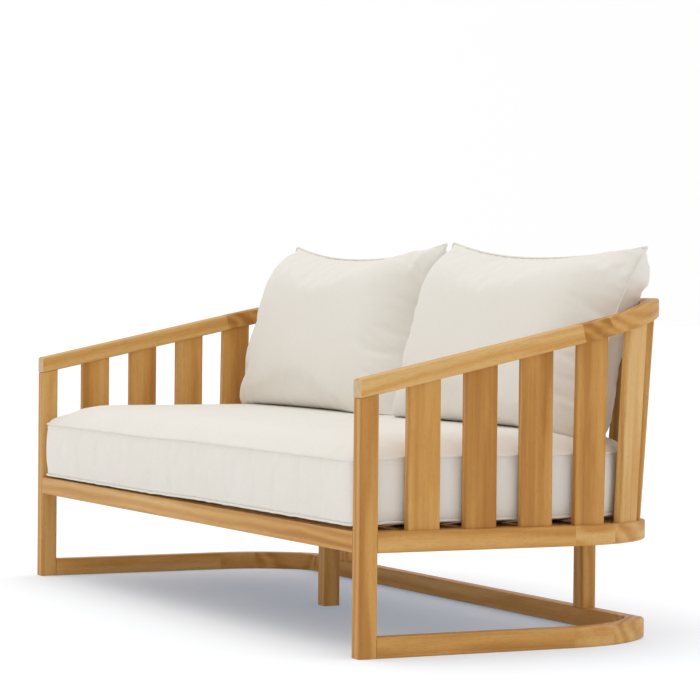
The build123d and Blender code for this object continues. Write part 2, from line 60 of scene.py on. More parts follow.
turn_cos, turn_sin = math.cos(CAMERA_TURN), math.sin(CAMERA_TURN)
tilt_cos, tilt_sin = math.cos(CAMERA_TILT), math.sin(CAMERA_TILT)
forward = Vector((-turn_sin * tilt_cos, turn_cos * tilt_cos, tilt_sin))
level = Vector((turn_cos, turn_sin, 0.0))
upright = level.cross(forward)
right = math.cos(CAMERA_ROLL) * level + math.sin(CAMERA_ROLL) * upright
up = math.cos(CAMERA_ROLL) * upright - math.sin(CAMERA_ROLL) * level
camera = bpy.data.objects.new("camera", bpy.data.cameras.new("camera"))
camera.data.lens = CAMERA_LENS
camera.data.sensor_width = 36.0
camera.data.clip_end = 200.0
camera.matrix_world = Matrix.Translation(CAMERA_PLACE) @ Matrix((right, up, -forward)).transposed().to_4x4()
scene.collection.objects.link(camera)
scene.camera = camera
print("camera looks along", [round(value, 3) for value in forward])

# %% [markdown]
# ## Small tools for node trees and meshes
# A node is added, set and wired in one call. A mesh comes from whole arrays of points and corner numbers.


# %% Tools
def node(tree, kind, feeds=None, **settings):
    """Add a node, set its properties, and feed its inputs with constants or with other outputs."""
    made = tree.nodes.new(kind)
    for key, value in settings.items():
        setattr(made, key, value)
    for key, value in (feeds or {}).items():
        if isinstance(value, bpy.types.NodeSocket):
            tree.links.new(value, made.inputs[key])
        else:
            made.inputs[key].default_value = value
    return made


def new_group(name, feeds, results):
    """An empty node group with these inputs and outputs, and its two end nodes."""
    group = bpy.data.node_groups.new(name, "ShaderNodeTree")
    for label, kind in feeds:
        group.interface.new_socket(label, in_out="INPUT", socket_type=kind)
    for label, kind in results:
        group.interface.new_socket(label, in_out="OUTPUT", socket_type=kind)
    return group, node(group, "NodeGroupInput"), node(group, "NodeGroupOutput")


def scaled(tree, vector, factors):
    """A vector with each part multiplied by its own factor."""
    feeds = {0: vector, 1: factors}
    return node(tree, "ShaderNodeVectorMath", feeds, operation="MULTIPLY").outputs[0]


def blend(tree, amount, first, second, mode="MIX"):
    """Two colours blended by an amount from 0 to 1."""
    feeds = {0: amount, 6: first, 7: second}
    return node(tree, "ShaderNodeMix", feeds, data_type="RGBA", blend_type=mode).outputs[2]


def math_node(tree, operation, first, second=0.0):
    """One sum or product of two values."""
    return node(tree, "ShaderNodeMath", {0: first, 1: second}, operation=operation).outputs[0]


def spread(tree, value, low, high, to_low=0.0, to_high=1.0):
    """A value taken from one range to another and kept inside it."""
    feeds = {"Value": value, "From Min": low, "From Max": high, "To Min": to_low, "To Max": to_high}
    return node(tree, "ShaderNodeMapRange", feeds).outputs[0]


def noise(tree, vector, factors, detail=2.0, roughness=0.5):
    """Noise on a vector that is first stretched by these factors."""
    feeds = {"Vector": scaled(tree, vector, factors), "Scale": 1.0, "Detail": detail, "Roughness": roughness}
    return node(tree, "ShaderNodeTexNoise", feeds).outputs["Fac"]


def dress(tree, shader, surface, strength, distance):
    """Feed a shader from a group's colour, roughness and height, the height as a bump of this distance."""
    feeds = {"Height": surface.outputs["Height"], "Strength": strength, "Distance": distance}
    bump = node(tree, "ShaderNodeBump", feeds)
    tree.links.new(surface.outputs["Color"], shader.inputs["Base Color"])
    tree.links.new(surface.outputs["Roughness"], shader.inputs["Roughness"])
    tree.links.new(bump.outputs["Normal"], shader.inputs["Normal"])


def add_mesh(name, points, faces, material, corner_uv=None):
    """A smooth mesh object at the origin from arrays of points, faces and UV places of face corners."""
    mesh = bpy.data.meshes.new(name)
    mesh.from_pydata(points.tolist(), [], faces.tolist())
    mesh.polygons.foreach_set("use_smooth", np.ones(len(mesh.polygons), dtype=bool))
    if corner_uv is not None:
        mesh.uv_layers.new(name="cloth").data.foreach_set("uv", corner_uv.astype(np.float32).ravel())
    mesh.materials.append(material)
    mesh.update()
    piece = bpy.data.objects.new(name, mesh)
    scene.collection.objects.link(piece)
    return piece


# %% [markdown]
# ## Studio
# A white floor runs out of view on every side. A little cool light comes up through its warm paint, so it
# is white in the light and its shadows stay pale and grey beside the wood. The sky is white on the left,
# dimmer on the right and warmer in front. One soft sun from above models the forms, and a weak one from
# the right reaches between the slats.

# %% Build the studio
scene.view_settings.view_transform = "Standard"
sky = bpy.data.worlds.new("sky")
sky.use_nodes = True
sky.node_tree.nodes.clear()
sky_place = node(sky.node_tree, "ShaderNodeTexCoord").outputs["Generated"]
sky_parts = node(sky.node_tree, "ShaderNodeSeparateXYZ", {0: sky_place}).outputs
sky_light = spread(sky.node_tree, sky_parts["X"], -0.9, 0.9, 1.0, 0.74)
sky_front = spread(sky.node_tree, sky_parts["Y"], 0.1, -0.9)
sky_color = blend(sky.node_tree, sky_front, (1.0, 1.0, 1.0, 1.0), (0.79, 0.75, 0.68, 1.0))
sky_feeds = {"Color": sky_color, "Strength": sky_light}
sky_shader = node(sky.node_tree, "ShaderNodeBackground", sky_feeds).outputs[0]
node(sky.node_tree, "ShaderNodeOutputWorld", {"Surface": sky_shader})
scene.world = sky

floor_paint = bpy.data.materials.new("floor_paint")
floor_paint.use_nodes = True
floor_shader = floor_paint.node_tree.nodes["Principled BSDF"]
floor_shader.inputs["Base Color"].default_value = (0.97, 0.9, 0.83, 1.0)
floor_shader.inputs["Emission Color"].default_value = (0.2, 0.6, 1.0, 1.0)
floor_shader.inputs["Emission Strength"].default_value = 0.26
floor_shader.inputs["Roughness"].default_value = 0.9
floor_shader.inputs["Specular IOR Level"].default_value = 0.1
floor_corners = np.array([[-60, -60, 0], [60, -60, 0], [60, 60, 0], [-60, 60, 0]], dtype=float)
floor = add_mesh("floor", floor_corners, np.array([[0, 1, 2, 3]]), floor_paint)


def add_sun(name, energy, color, direction):
    """A very soft sun that shines from a direction."""
    lamp = bpy.data.objects.new(name, bpy.data.lights.new(name, "SUN"))
    lamp.data.energy = energy
    lamp.data.angle = math.radians(60)
    lamp.data.color = color
    lamp.rotation_euler = Vector(direction).to_track_quat("Z", "Y").to_euler()
    scene.collection.objects.link(lamp)
    return lamp


sun = add_sun("sun", 0.77, (0.98, 0.99, 1.0), (-0.12, -0.16, 0.97))
fill_light = add_sun("fill_light", 0.13, (1.0, 0.97, 0.92), (0.85, -0.1, 0.45))
print("studio: floor, sky,", sun.name, "and", fill_light.name)

# %% [markdown]
# ## Teak
# One node group draws the grain along its own X axis. Rings bent by slow noise give the arched figure,
# stretched noise gives streaks and fibres, and short dark dashes are the pores. Where a face looks along
# the grain, it shows paler end grain.


# %% Grain of the teak
def teak_group():
    """Colour, roughness and height of sawn and oiled teak."""
    feeds = [("Place", "NodeSocketVector"), ("Along", "NodeSocketFloat"), ("Tone", "NodeSocketFloat")]
    results = [("Color", "NodeSocketColor"), ("Roughness", "NodeSocketFloat"), ("Height", "NodeSocketFloat")]
    group, start, end = new_group("teak grain", feeds, results)
    place = start.outputs["Place"]
    ring_feeds = {
        "Vector": scaled(group, place, (0.16, 1.0, 1.0)), "Scale": 16.0, "Distortion": 5.0,
        "Detail": 3.0, "Detail Scale": 0.9, "Detail Roughness": 0.55,
    }
    rings = node(group, "ShaderNodeTexWave", ring_feeds, wave_type="RINGS", rings_direction="X")
    streaks = noise(group, place, (1.1, 60.0, 60.0), 3.0, 0.55)
    bands = noise(group, place, (0.8, 16.0, 16.0), 2.0, 0.5)
    fibres = noise(group, place, (22.0, 900.0, 900.0), 2.0, 0.6)
    pores = spread(group, noise(group, place, (60.0, 1400.0, 1400.0), 1.0, 0.5), 0.6, 0.72)
    figure = math_node(group, "MULTIPLY", rings.outputs["Fac"], 0.36)
    figure = math_node(group, "ADD", figure, math_node(group, "MULTIPLY", streaks, 0.62))
    figure = math_node(group, "ADD", figure, math_node(group, "MULTIPLY", bands, 0.55))
    figure = math_node(group, "ADD", figure, start.outputs["Tone"])
    ramp = node(group, "ShaderNodeValToRGB", {"Fac": spread(group, figure, 0.35, 1.25)})
    ramp.color_ramp.elements[0].color = (0.72, 0.455, 0.175, 1.0)
    ramp.color_ramp.elements[1].color = (0.4, 0.163, 0.03, 1.0)
    middle = ramp.color_ramp.elements.new(0.5)
    middle.color = (0.61, 0.312, 0.08, 1.0)
    color = blend(group, spread(group, fibres, 0.35, 0.7, 0.0, 0.22), ramp.outputs["Color"],
                  (0.37, 0.165, 0.042, 1.0))
    color = blend(group, math_node(group, "MULTIPLY", pores, 0.35), color, (0.16, 0.07, 0.025, 1.0))
    ends = spread(group, math_node(group, "ABSOLUTE", start.outputs["Along"]), 0.75, 0.95, 0.0, 0.55)
    color = blend(group, ends, color, (0.6, 0.5, 0.36, 1.0))
    relief = math_node(group, "SUBTRACT", math_node(group, "MULTIPLY", fibres, 0.5), pores)
    relief = math_node(group, "ADD", relief, math_node(group, "MULTIPLY", streaks, 0.6))
    group.links.new(color, end.inputs["Color"])
    group.links.new(spread(group, streaks, 0.3, 0.7, 0.42, 0.58), end.inputs["Roughness"])
    group.links.new(relief, end.inputs["Height"])
    return group


teak_grain = teak_group()


def teak(name, grain, place, tone):
    """Teak whose grain runs along a direction, cut from its own place in the log."""
    made = bpy.data.materials.new(name)
    made.use_nodes = True
    tree = made.node_tree
    shader = tree.nodes["Principled BSDF"]
    shader.inputs["Specular IOR Level"].default_value = 0.22
    coordinates = node(tree, "ShaderNodeTexCoord")
    direction = Vector(grain).normalized()
    mapping = node(tree, "ShaderNodeMapping", {"Vector": coordinates.outputs["Object"]})
    mapping.inputs["Rotation"].default_value = direction.rotation_difference(Vector((1, 0, 0))).to_euler()
    mapping.inputs["Location"].default_value = place
    along_feeds = {0: coordinates.outputs["Normal"], 1: direction}
    along = node(tree, "ShaderNodeVectorMath", along_feeds, operation="DOT_PRODUCT").outputs["Value"]
    sawn_feeds = {"Place": mapping.outputs[0], "Along": along, "Tone": tone}
    sawn = node(tree, "ShaderNodeGroup", sawn_feeds, node_tree=teak_grain)
    dress(tree, shader, sawn, 0.35, 0.0004)
    return made


# %% [markdown]
# Boards run along their piece. A rear corner is sawn from one block, so its grain follows the chord of
# the bend, and the front block of each arm is set with its grain across the bend.

# %% Give every board its own piece of teak
ARM_RISE = 0.2163
ALONG_X, ALONG_Y, UPRIGHT = (1, 0, 0), (0, 1, 0), (0, 0, 1)
GRAINS = {
    "arm_rail": (0, 1, ARM_RISE),
    "arm_front_corner": (-0.55, 1, 0.1), "arm_rear_corner": (-0.85, 1, ARM_RISE),
    "seat_side_rail": ALONG_Y, "floor_side_rail": ALONG_Y, "seat_bearers": ALONG_Y, "seat_cleats": ALONG_Y,
    "seat_front_corner": (-0.2, 1, 0), "floor_front_corner": (-0.2, 1, 0),
    "seat_rear_corner": (-1.1, 1, 0), "floor_rear_corner": (-1.1, 1, 0),
    "front_post": UPRIGHT, "rear_leg": UPRIGHT, "centre_leg": UPRIGHT,
    "side_slat": UPRIGHT, "corner_slat": UPRIGHT, "back_slat": (0, 0.062, 1),
}
TONES_AND_PAINTED_LIGHT = {       # higher is darker, and the first name that fits a board counts
    "side_slat_right_1": -0.1, "side_slat_right_3": 0.22, "side_slat_right_4": 0.34,
    # The first right corner slat's low value is painted light: its broad face is made paler to stand in for
    # light falling on it from the right rear.
    "corner_slat_right_1": -0.25, "arm_front_corner_right": 0.36,
    "arm_front_corner": 0.2, "arm_rear_corner": 0.12, "arm_rail": -0.2,
    "seat_rear_corner": 0.04, "floor_rear_corner": 0.02, "side_slat": 0.16, "front_post": 0.08,
    "seat_deck_slats": 0.05,
}
SOFT_NODES = ("seat_cushion", "back_cushion_left", "back_cushion_right")
random = np.random.default_rng(7)
boards = [name for name in sorted(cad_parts) if name not in SOFT_NODES]
for name in boards:
    kind = next((key for key in GRAINS if name.startswith(key)), None)
    grain = GRAINS.get(kind, ALONG_X)
    if name.endswith("_left") or "_left_" in name:
        grain = (-grain[0], grain[1], grain[2])
    tone = next((value for key, value in TONES_AND_PAINTED_LIGHT.items() if name.startswith(key)), 0.0)
    tone += random.uniform(-0.05, 0.05)
    place = random.uniform((-4.0, 0.05, 0.05), (4.0, 0.16, 0.16))
    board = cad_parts[name]
    board.data.materials.clear()
    board.data.materials.append(teak(f"teak_{name}", grain, place, tone))
print(len(boards), "boards of teak")

# %% [markdown]
# ## Cloth
# The covers are a cream plain weave. The weave is drawn in the panels' own coordinates, which are
# measured in metres along the cloth, so its threads follow every panel.


# %% Weave of the cloth
def cloth_group():
    """Colour, roughness and height of a plain weave with uneven threads."""
    results = [("Color", "NodeSocketColor"), ("Roughness", "NodeSocketFloat"), ("Height", "NodeSocketFloat")]
    group, start, end = new_group("plain weave", [("Place", "NodeSocketVector")], results)
    place = start.outputs["Place"]
    warp = node(group, "ShaderNodeTexWave", {"Vector": place, "Scale": 240.0, "Distortion": 0.6},
                bands_direction="X").outputs["Fac"]
    weft = node(group, "ShaderNodeTexWave", {"Vector": place, "Scale": 240.0, "Distortion": 0.6},
                bands_direction="Y").outputs["Fac"]
    weave = math_node(group, "MULTIPLY", warp, weft)
    slubs = noise(group, place, (30.0, 800.0, 1.0), 2.0, 0.6)
    cross_slubs = noise(group, place, (800.0, 30.0, 1.0), 2.0, 0.6)
    threads = math_node(group, "ADD", slubs, cross_slubs)
    stains = noise(group, place, (5.0, 5.0, 1.0), 3.0, 0.5)
    color = blend(group, spread(group, threads, 0.8, 1.25, 0.0, 0.4), (0.825, 0.802, 0.758, 1.0),
                  (0.735, 0.695, 0.625, 1.0))
    color = blend(group, spread(group, stains, 0.35, 0.7, 0.0, 0.25), color, (0.76, 0.715, 0.64, 1.0))
    color = blend(group, math_node(group, "MULTIPLY", weave, 0.12), color, (0.9, 0.88, 0.84, 1.0))
    relief = math_node(group, "ADD", weave, math_node(group, "MULTIPLY", threads, 0.8))
    group.links.new(color, end.inputs["Color"])
    group.links.new(spread(group, threads, 0.7, 1.3, 0.8, 0.95), end.inputs["Roughness"])
    group.links.new(relief, end.inputs["Height"])
    return group


plain_weave = cloth_group()


def cloth(name, relief):
    """Cream cover cloth with a soft sheen."""
    made = bpy.data.materials.new(name)
    made.use_nodes = True
    tree = made.node_tree
    shader = tree.nodes["Principled BSDF"]
    shader.inputs["Specular IOR Level"].default_value = 0.2
    shader.inputs["Sheen Weight"].default_value = 0.15
    shader.inputs["Sheen Roughness"].default_value = 0.5
    place = node(tree, "ShaderNodeUVMap", uv_map="cloth").outputs["UV"]
    weave = node(tree, "ShaderNodeGroup", {"Place": place}, node_tree=plain_weave)
    dress(tree, shader, weave, relief, 0.0003)
    return made


cover_cloth = cloth("cover_cloth", 0.25)
piping_cloth = cloth("piping_cloth", 0.4)
print("cloth materials:", cover_cloth.name, piping_cloth.name)

# %% [markdown]
# ## Sewing panels
# A panel is a grid of points inside four edge curves. Panels that share a seam are welded there. Every
# point keeps its distance to the nearest seam and its place along it, for the puckers.


# %% Panels, welding and piping
def fill(near, outer, far, inner):
    """Points inside four edges: the blend of opposite edges, summed, less the blend of the corners."""
    across = np.linspace(0, 1, len(near))[None, :, None]
    upward = np.linspace(0, 1, len(inner))[:, None, None]
    ruled = (1 - upward) * near[None] + upward * far[None]
    ruled = ruled + (1 - across) * inner[:, None] + across * outer[:, None]
    ruled = ruled - (1 - across) * (1 - upward) * near[0] - across * (1 - upward) * near[-1]
    return ruled - (1 - across) * upward * far[0] - across * upward * far[-1]


def resample(path, count):
    """Points evenly spaced by length along a path."""
    steps = np.linalg.norm(np.diff(path, axis=0), axis=1)
    length = np.concatenate([[0.0], np.cumsum(steps)])
    wanted = np.linspace(0, length[-1], count)
    return np.stack([np.interp(wanted, length, path[:, axis]) for axis in range(path.shape[1])], axis=1)


def crown(distance, reach, power):
    """Share of a crown's height at a distance from its seam: one, less the rest of the way to a power."""
    return 1 - (1 - np.clip(distance / reach, 0, 1)) ** power


def grid_faces(rows, columns, flipped=False):
    """Corner numbers of the quads of a grid, turned over if asked."""
    numbers = np.arange(rows * columns).reshape(rows, columns)
    faces = np.stack([numbers[:-1, :-1], numbers[:-1, 1:], numbers[1:, 1:], numbers[1:, :-1]], axis=-1)
    faces = faces.reshape(-1, 4)
    return faces[:, ::-1] if flipped else faces


def weld(panels):
    """Join panels into one closed shell: points that lie in the same place become one."""
    points, faces, corner_uv, seams, gaps = [], [], [], [], []
    start = 0
    for grid, uv, seam_gap, seam_place, flipped in panels:
        rows, columns = grid.shape[:2]
        panel_faces = grid_faces(rows, columns, flipped)
        points.append(grid.reshape(-1, 3))
        corner_uv.append(uv.reshape(-1, 2)[panel_faces])
        gaps.append(seam_gap.ravel())
        seams.append(seam_place.ravel())
        faces.append(panel_faces + start)
        start += rows * columns
    points = np.concatenate(points)
    gaps = np.concatenate(gaps)
    order = np.lexsort(np.round(points, 6).T)
    ordered = np.round(points, 6)[order]
    fresh = np.concatenate([[True], np.any(np.diff(ordered, axis=0) != 0, axis=1)])
    new_number = np.empty(len(points), dtype=int)
    new_number[order] = np.cumsum(fresh) - 1
    kept = order[fresh]
    return {
        "points": points[kept], "faces": new_number[np.concatenate(faces)],
        "uv": np.concatenate(corner_uv), "gap": gaps[kept], "place": np.concatenate(seams)[kept],
    }


def surface_normals(points, faces):
    """Unit normals at the points: the sum of the crossed diagonals of the quads round each one."""
    corners = points[faces]
    face_normals = np.cross(corners[:, 2] - corners[:, 0], corners[:, 3] - corners[:, 1])
    total = np.zeros_like(points)
    for corner in range(4):
        np.add.at(total, faces[:, corner], face_normals)
    return total / np.maximum(np.linalg.norm(total, axis=1, keepdims=True), 1e-12)


LAST_FRAME = 20


def inflate(name, shell, growth, cap):
    """Blow a shell up as cloth with its seams held; its moves are eased off below the cap."""
    piece = add_mesh(name, shell["points"], shell["faces"], cover_cloth)
    held = piece.vertex_groups.new(name="seams")
    held.add(np.flatnonzero(shell["gap"] < 1e-5).tolist(), 1.0, "REPLACE")
    cloth_modifier = piece.modifiers.new("cloth", "CLOTH")
    settings = cloth_modifier.settings
    settings.vertex_group_mass = "seams"
    settings.use_pressure = True
    settings.uniform_pressure_force = 4.0
    settings.shrink_min = -growth
    settings.tension_stiffness = 20.0
    settings.compression_stiffness = 12.0
    settings.bending_stiffness = 0.4
    settings.quality = 5
    settings.mass = 0.3
    settings.effector_weights.gravity = 0.0
    cloth_modifier.point_cache.frame_start = 1
    cloth_modifier.point_cache.frame_end = LAST_FRAME
    for frame_number in range(1, LAST_FRAME + 1):
        scene.frame_set(frame_number)
    blown = piece.evaluated_get(bpy.context.evaluated_depsgraph_get()).to_mesh()
    points = np.empty(len(blown.vertices) * 3)
    blown.vertices.foreach_get("co", points)
    points = points.reshape(-1, 3)
    bpy.data.objects.remove(piece)
    scene.frame_set(1)
    move = points - shell["points"]
    length = np.linalg.norm(move, axis=1, keepdims=True)
    print(name, "swelled by up to", round(float(length.max()) * 1000, 1), "mm")
    return shell["points"] + move * cap * np.tanh(length / cap) / np.maximum(length, 1e-9)


def tube(name, path, radius, upward, material, sides=10):
    """A closed tube round a loop of points: each ring lies across the path, with one axis kept upward."""
    ahead = np.roll(path, -1, axis=0) - np.roll(path, 1, axis=0)
    ahead /= np.linalg.norm(ahead, axis=1, keepdims=True)
    outward = np.cross(ahead, upward)
    outward /= np.linalg.norm(outward, axis=1, keepdims=True)
    lift = np.cross(outward, ahead)
    turn = np.linspace(0, 2 * math.pi, sides, endpoint=False)[None, :, None]
    rings = path[:, None] + radius * (np.cos(turn) * outward[:, None] + np.sin(turn) * lift[:, None])
    numbers = np.arange(len(path) * sides).reshape(len(path), sides)
    beside = np.roll(numbers, -1, axis=1)
    faces = np.stack([numbers, beside, np.roll(beside, -1, axis=0), np.roll(numbers, -1, axis=0)], axis=-1)
    length = np.cumsum(np.linalg.norm(np.roll(path, -1, axis=0) - path, axis=1))
    along = np.concatenate([[0.0], length])
    around = np.arange(sides + 1) * 2 * math.pi * radius / sides
    ring, side = np.meshgrid(np.arange(len(path)), np.arange(sides), indexing="ij")
    corners = np.stack([
        np.stack([along[ring], around[side]], -1), np.stack([along[ring], around[side + 1]], -1),
        np.stack([along[ring + 1], around[side + 1]], -1), np.stack([along[ring + 1], around[side]], -1),
    ], axis=2)
    return add_mesh(name, rings.reshape(-1, 3), faces.reshape(-1, 4), material, corners.reshape(-1, 2))


def puckers(place, seed, wave):
    """Uneven ripples along a seam: three sines of unlike lengths, each with its own start."""
    starts = np.random.default_rng(seed).uniform(0, 2 * math.pi, 3)
    turn = 2 * math.pi * place / wave
    slow = np.sin(0.23 * turn + starts[0])
    return (np.sin(turn + 2 * slow + starts[1]) + 0.6 * np.sin(1.73 * turn + starts[2])) * (0.6 + 0.4 * slow)


# %% [markdown]
# ## Seat cushion
# The cover has a top, a bottom and a boxing strip between two piped seams. It is cut to the inside of
# the frame, with a wide bend and a tight bend at each rear corner. The top rises in a crown from all four
# seams, and both seams climb a little along the sides and dip towards the left end.

# %% Cut the panels of the seat cushion
SEAT_TOP, SEAT_CROWN = 0.276, 0.4815
LOWER_SEAM, UPPER_SEAM, SIDE_LIFT, LEFT_DIP = 0.2885, 0.430, 0.005, 0.004
SIDE_REACH, END_REACH, CROWN_POWER = 0.42, 0.26, 5
SIDE, NEAR, FAR = 0.956, FRONT + 0.0065, FRONT + 0.766
NEAR_RADIUS, SIDE_RADIUS, BACK_RADIUS, SIDE_TURN = 0.022, 0.238, 0.068, math.radians(50)
STRIP_SWELL = 0.003


def bend(middle, radius, start, stop, count=24):
    """Points on an arc about a middle in plan."""
    turn = np.linspace(start, stop, count)
    return np.stack([middle[0] + radius * np.cos(turn), middle[1] + radius * np.sin(turn)], axis=1)


def seam_raise(x, y):
    """How far a seam stands above its front height: it climbs along the sides and dips to the left."""
    return SIDE_LIFT * np.clip((y - NEAR) / 0.12, 0, 1) - LEFT_DIP * np.clip((0.1 - x) / 0.3, 0, 1)


def join_crowns(first, second):
    """The lesser of two crowns, rounded where they meet: the fourth-power mean of their inverses."""
    first, second = np.maximum(first, 1e-4), np.maximum(second, 1e-4)
    return np.minimum(((first ** -4 + second ** -4) / 2) ** -0.25, 1)


bend_y = FAR - BACK_RADIUS - (SIDE_RADIUS - BACK_RADIUS) * math.sin(SIDE_TURN)
tight_x = SIDE - SIDE_RADIUS + (SIDE_RADIUS - BACK_RADIUS) * math.cos(SIDE_TURN)
tight_middle = (tight_x, FAR - BACK_RADIUS)
near_middle = (SIDE - NEAR_RADIUS, NEAR + NEAR_RADIUS)
front_half = np.concatenate([[(0, NEAR)], bend(near_middle, NEAR_RADIUS, -math.pi / 2, -math.pi / 4)])
side_edge = np.concatenate([
    bend(near_middle, NEAR_RADIUS, -math.pi / 4, 0),
    bend((SIDE - SIDE_RADIUS, bend_y), SIDE_RADIUS, 0, SIDE_TURN),
])
rear_half = np.concatenate([bend(tight_middle, BACK_RADIUS, SIDE_TURN, math.pi / 2), [(0, FAR)]])
FLIP = np.array([-1.0, 1.0])
COLUMNS, ROWS = 141, 57
front_edge = resample(np.concatenate([(front_half * FLIP)[::-1], front_half]), COLUMNS)
rear_edge = resample(np.concatenate([rear_half, (rear_half * FLIP)[::-1]])[::-1], COLUMNS)
right_edge = resample(side_edge, ROWS)
left_edge = right_edge * FLIP
plan = fill(front_edge, right_edge, rear_edge, left_edge)

across = np.linspace(-1, 1, COLUMNS)[None, :]
upward = np.linspace(-1, 1, ROWS)[:, None]
side_gap = (1 - np.abs(across)) * SIDE + 0 * upward
end_gap = (1 - np.abs(upward)) * (FAR - NEAR) / 2 + 0 * across
panel_gap = np.minimum(side_gap, end_gap)
side_crown, end_crown = crown(side_gap, SIDE_REACH, CROWN_POWER), crown(end_gap, END_REACH, CROWN_POWER)
seat_rise = join_crowns(side_crown, end_crown)
place_x = across * SIDE + 0 * upward
place_y = upward * (FAR - NEAR) / 2 + 0 * across
panel_place = np.where(side_gap < end_gap, place_y, place_x)
panel_uv = np.stack([place_x, place_y], axis=-1)
seam_lift = seam_raise(plan[..., 0], plan[..., 1])
upper_seam = UPPER_SEAM + seam_lift
lower_seam = LOWER_SEAM + seam_lift
top = np.dstack([plan, upper_seam + 0.86 * (SEAT_CROWN - upper_seam) * seat_rise])
bottom = np.dstack([plan, lower_seam - (lower_seam - SEAT_TOP - 0.0008) * crown(panel_gap, 0.11, 1)])

ring = np.concatenate([front_edge, right_edge[1:], rear_edge[::-1][1:], left_edge[::-1][1:]])
ring_place = np.concatenate([[0.0], np.cumsum(np.linalg.norm(np.diff(ring, axis=0), axis=1))])
levels = np.linspace(0, 1, 15)[:, None]
ring_ahead = np.gradient(ring, axis=0)
ring_out = np.stack([ring_ahead[:, 1], -ring_ahead[:, 0]], axis=1)
ring_out /= np.linalg.norm(ring_out, axis=1, keepdims=True)
swell = STRIP_SWELL * np.sin(math.pi * levels)
strip = ring[None] + swell[..., None] * ring_out[None]
strip_height = UPPER_SEAM - LOWER_SEAM
ring_lift = seam_raise(ring[:, 0], ring[:, 1])
strip = np.dstack([strip, LOWER_SEAM + ring_lift[None] + strip_height * levels])
strip[:, -1] = strip[:, 0]
strip_gap = np.minimum(levels, 1 - levels) * strip_height + 0 * ring_place[None]
strip_place = ring_place[None] + 0 * levels
strip_uv = np.stack([strip_place, levels * strip_height + 0 * strip_place], axis=-1)
seat_shell = weld([
    (top, panel_uv, panel_gap, panel_place, False),
    (bottom, panel_uv + 3, panel_gap, panel_place, True),
    (strip, strip_uv, strip_gap, strip_place, False),
])
print("seat cushion:", len(seat_shell["points"]), "points")

# %% [markdown]
# The simulation gives the cover its slack and its folds. Its top is then kept close to the crown, its
# underside above the deck and its ends between the side rails, because the filling holds it there.


# %% Blow up the seat cushion and add its puckers
def edge_gap(x, y):
    """Distance in plan from a place to the nearest point of the seam."""
    places = np.stack([x, y], axis=-1)[..., None, :]
    return np.linalg.norm(places - ring, axis=-1).min(axis=-1)


def seat_height(x, y):
    """Top of the seat cushion at a place in plan: the two directions' crowns, joined and low at a bend."""
    across_crown = crown(SIDE - np.abs(x), SIDE_REACH, CROWN_POWER)
    along_crown = crown(np.minimum(y - NEAR, FAR - y), END_REACH, CROWN_POWER)
    corner_crown = crown(edge_gap(x, y), 0.12, CROWN_POWER)
    edge_height = UPPER_SEAM + seam_raise(x, y)
    rise = np.minimum(join_crowns(across_crown, along_crown), corner_crown)
    return edge_height + (SEAT_CROWN - edge_height) * rise


END_LIMIT = 0.9608      # just inside the side rails
points = inflate("seat_trial", seat_shell, 0.012, 0.014)
normals = surface_normals(points, seat_shell["faces"])
near_seam = np.exp(-seat_shell["gap"] / 0.022) * (1 - np.exp(-seat_shell["gap"] / 0.004))
ripple = puckers(seat_shell["place"], 3, 0.036)
points = points + normals * (0.0011 * near_seam * ripple)[:, None]
crowned = seat_height(points[:, 0], points[:, 1])
under = np.minimum(SEAT_CROWN, crowned + 0.004)
over = crowned - 0.0012 - 0.012 * np.exp(-seat_shell["gap"] / 0.03)
cut_x, cut_y, cut_z = seat_shell["points"].T
is_top = cut_z > UPPER_SEAM + seam_raise(cut_x, cut_y) + 1e-6
lowest = np.maximum(cut_z - 0.0015, SEAT_TOP + 0.0006)
points[:, 2] = np.where(is_top, np.clip(points[:, 2], over, under), np.maximum(points[:, 2], lowest))
points[:, 0] = np.clip(points[:, 0], -END_LIMIT, END_LIMIT)
seat_cushion_cover = add_mesh(
    "seat_cushion_cover", points, seat_shell["faces"], cover_cloth, seat_shell["uv"])

SEAT_PIPING, PILLOW_PIPING = 0.003, 0.0027
loop = ring[:-1]
loop_out = ring_out[:-1]
for name, height, seed in (("seat_piping_upper", UPPER_SEAM, 11), ("seat_piping_lower", LOWER_SEAM, 12)):
    sway = 0.0006 * puckers(ring_place[:-1], seed, 0.09)
    path = np.column_stack([loop + 0.0012 * loop_out, height + ring_lift[:-1] + sway])
    tube(name, path, SEAT_PIPING, np.array([0.0, 0.0, 1.0]), piping_cloth)
print("seat cushion top at", round(float(points[:, 2].max()), 4))

# %% [markdown]
# ## Back cushions
# Each one is a front and a rear panel on one piped knife edge. The edges sag between the pointed
# corners. The front is fullest low down, where it bulges close to its base seam, and eases off towards the
# upper left corner. The whole cushion leans back on the top rail, stays in front of the slats and lies
# flat on the seat.

# %% Shape of a back cushion
FOOT_Y, LEAN = FRONT + 0.629, math.radians(18)
HALF_WIDTH, PILLOW_TOP, PILLOW_BASE, PILLOW_MIDDLE = 0.4525, 0.466, -0.012, 0.4725
TOP_SAG, LEFT_SAG, RIGHT_SAG, BASE_SAG, EAR_DROP = 0.042, 0.014, 0.056, 0.012, 0.014
EAR_LEANS = {-1: (0.01, 0.009), 1: (0.013, -0.009)}     # how far the two upper corners come forward
FRONT_DEPTH, REAR_DEPTH = 0.103, 0.086
PILLOW_COLUMNS, PILLOW_ROWS = 101, 61
RAIL_FACE = FRONT + 0.806
RAIL_BEND_X, RAIL_BEND_Y, RAIL_BEND = 0.68, FRONT + 0.5883, 0.282
RAIL_HEIGHT, ARM_TOP, SLAT_LEAN, SLAT_FOOT = 0.045, 0.609, 0.0621, FRONT + 0.7815
CLEARANCE = 0.0015      # between a back cushion and the wood
HELD_TO, FREE_FROM = 0.002, 0.034       # heights over the top rail, from held by it to free of it
PRESSED = 0.055         # height of the lowest part that the seat presses flat


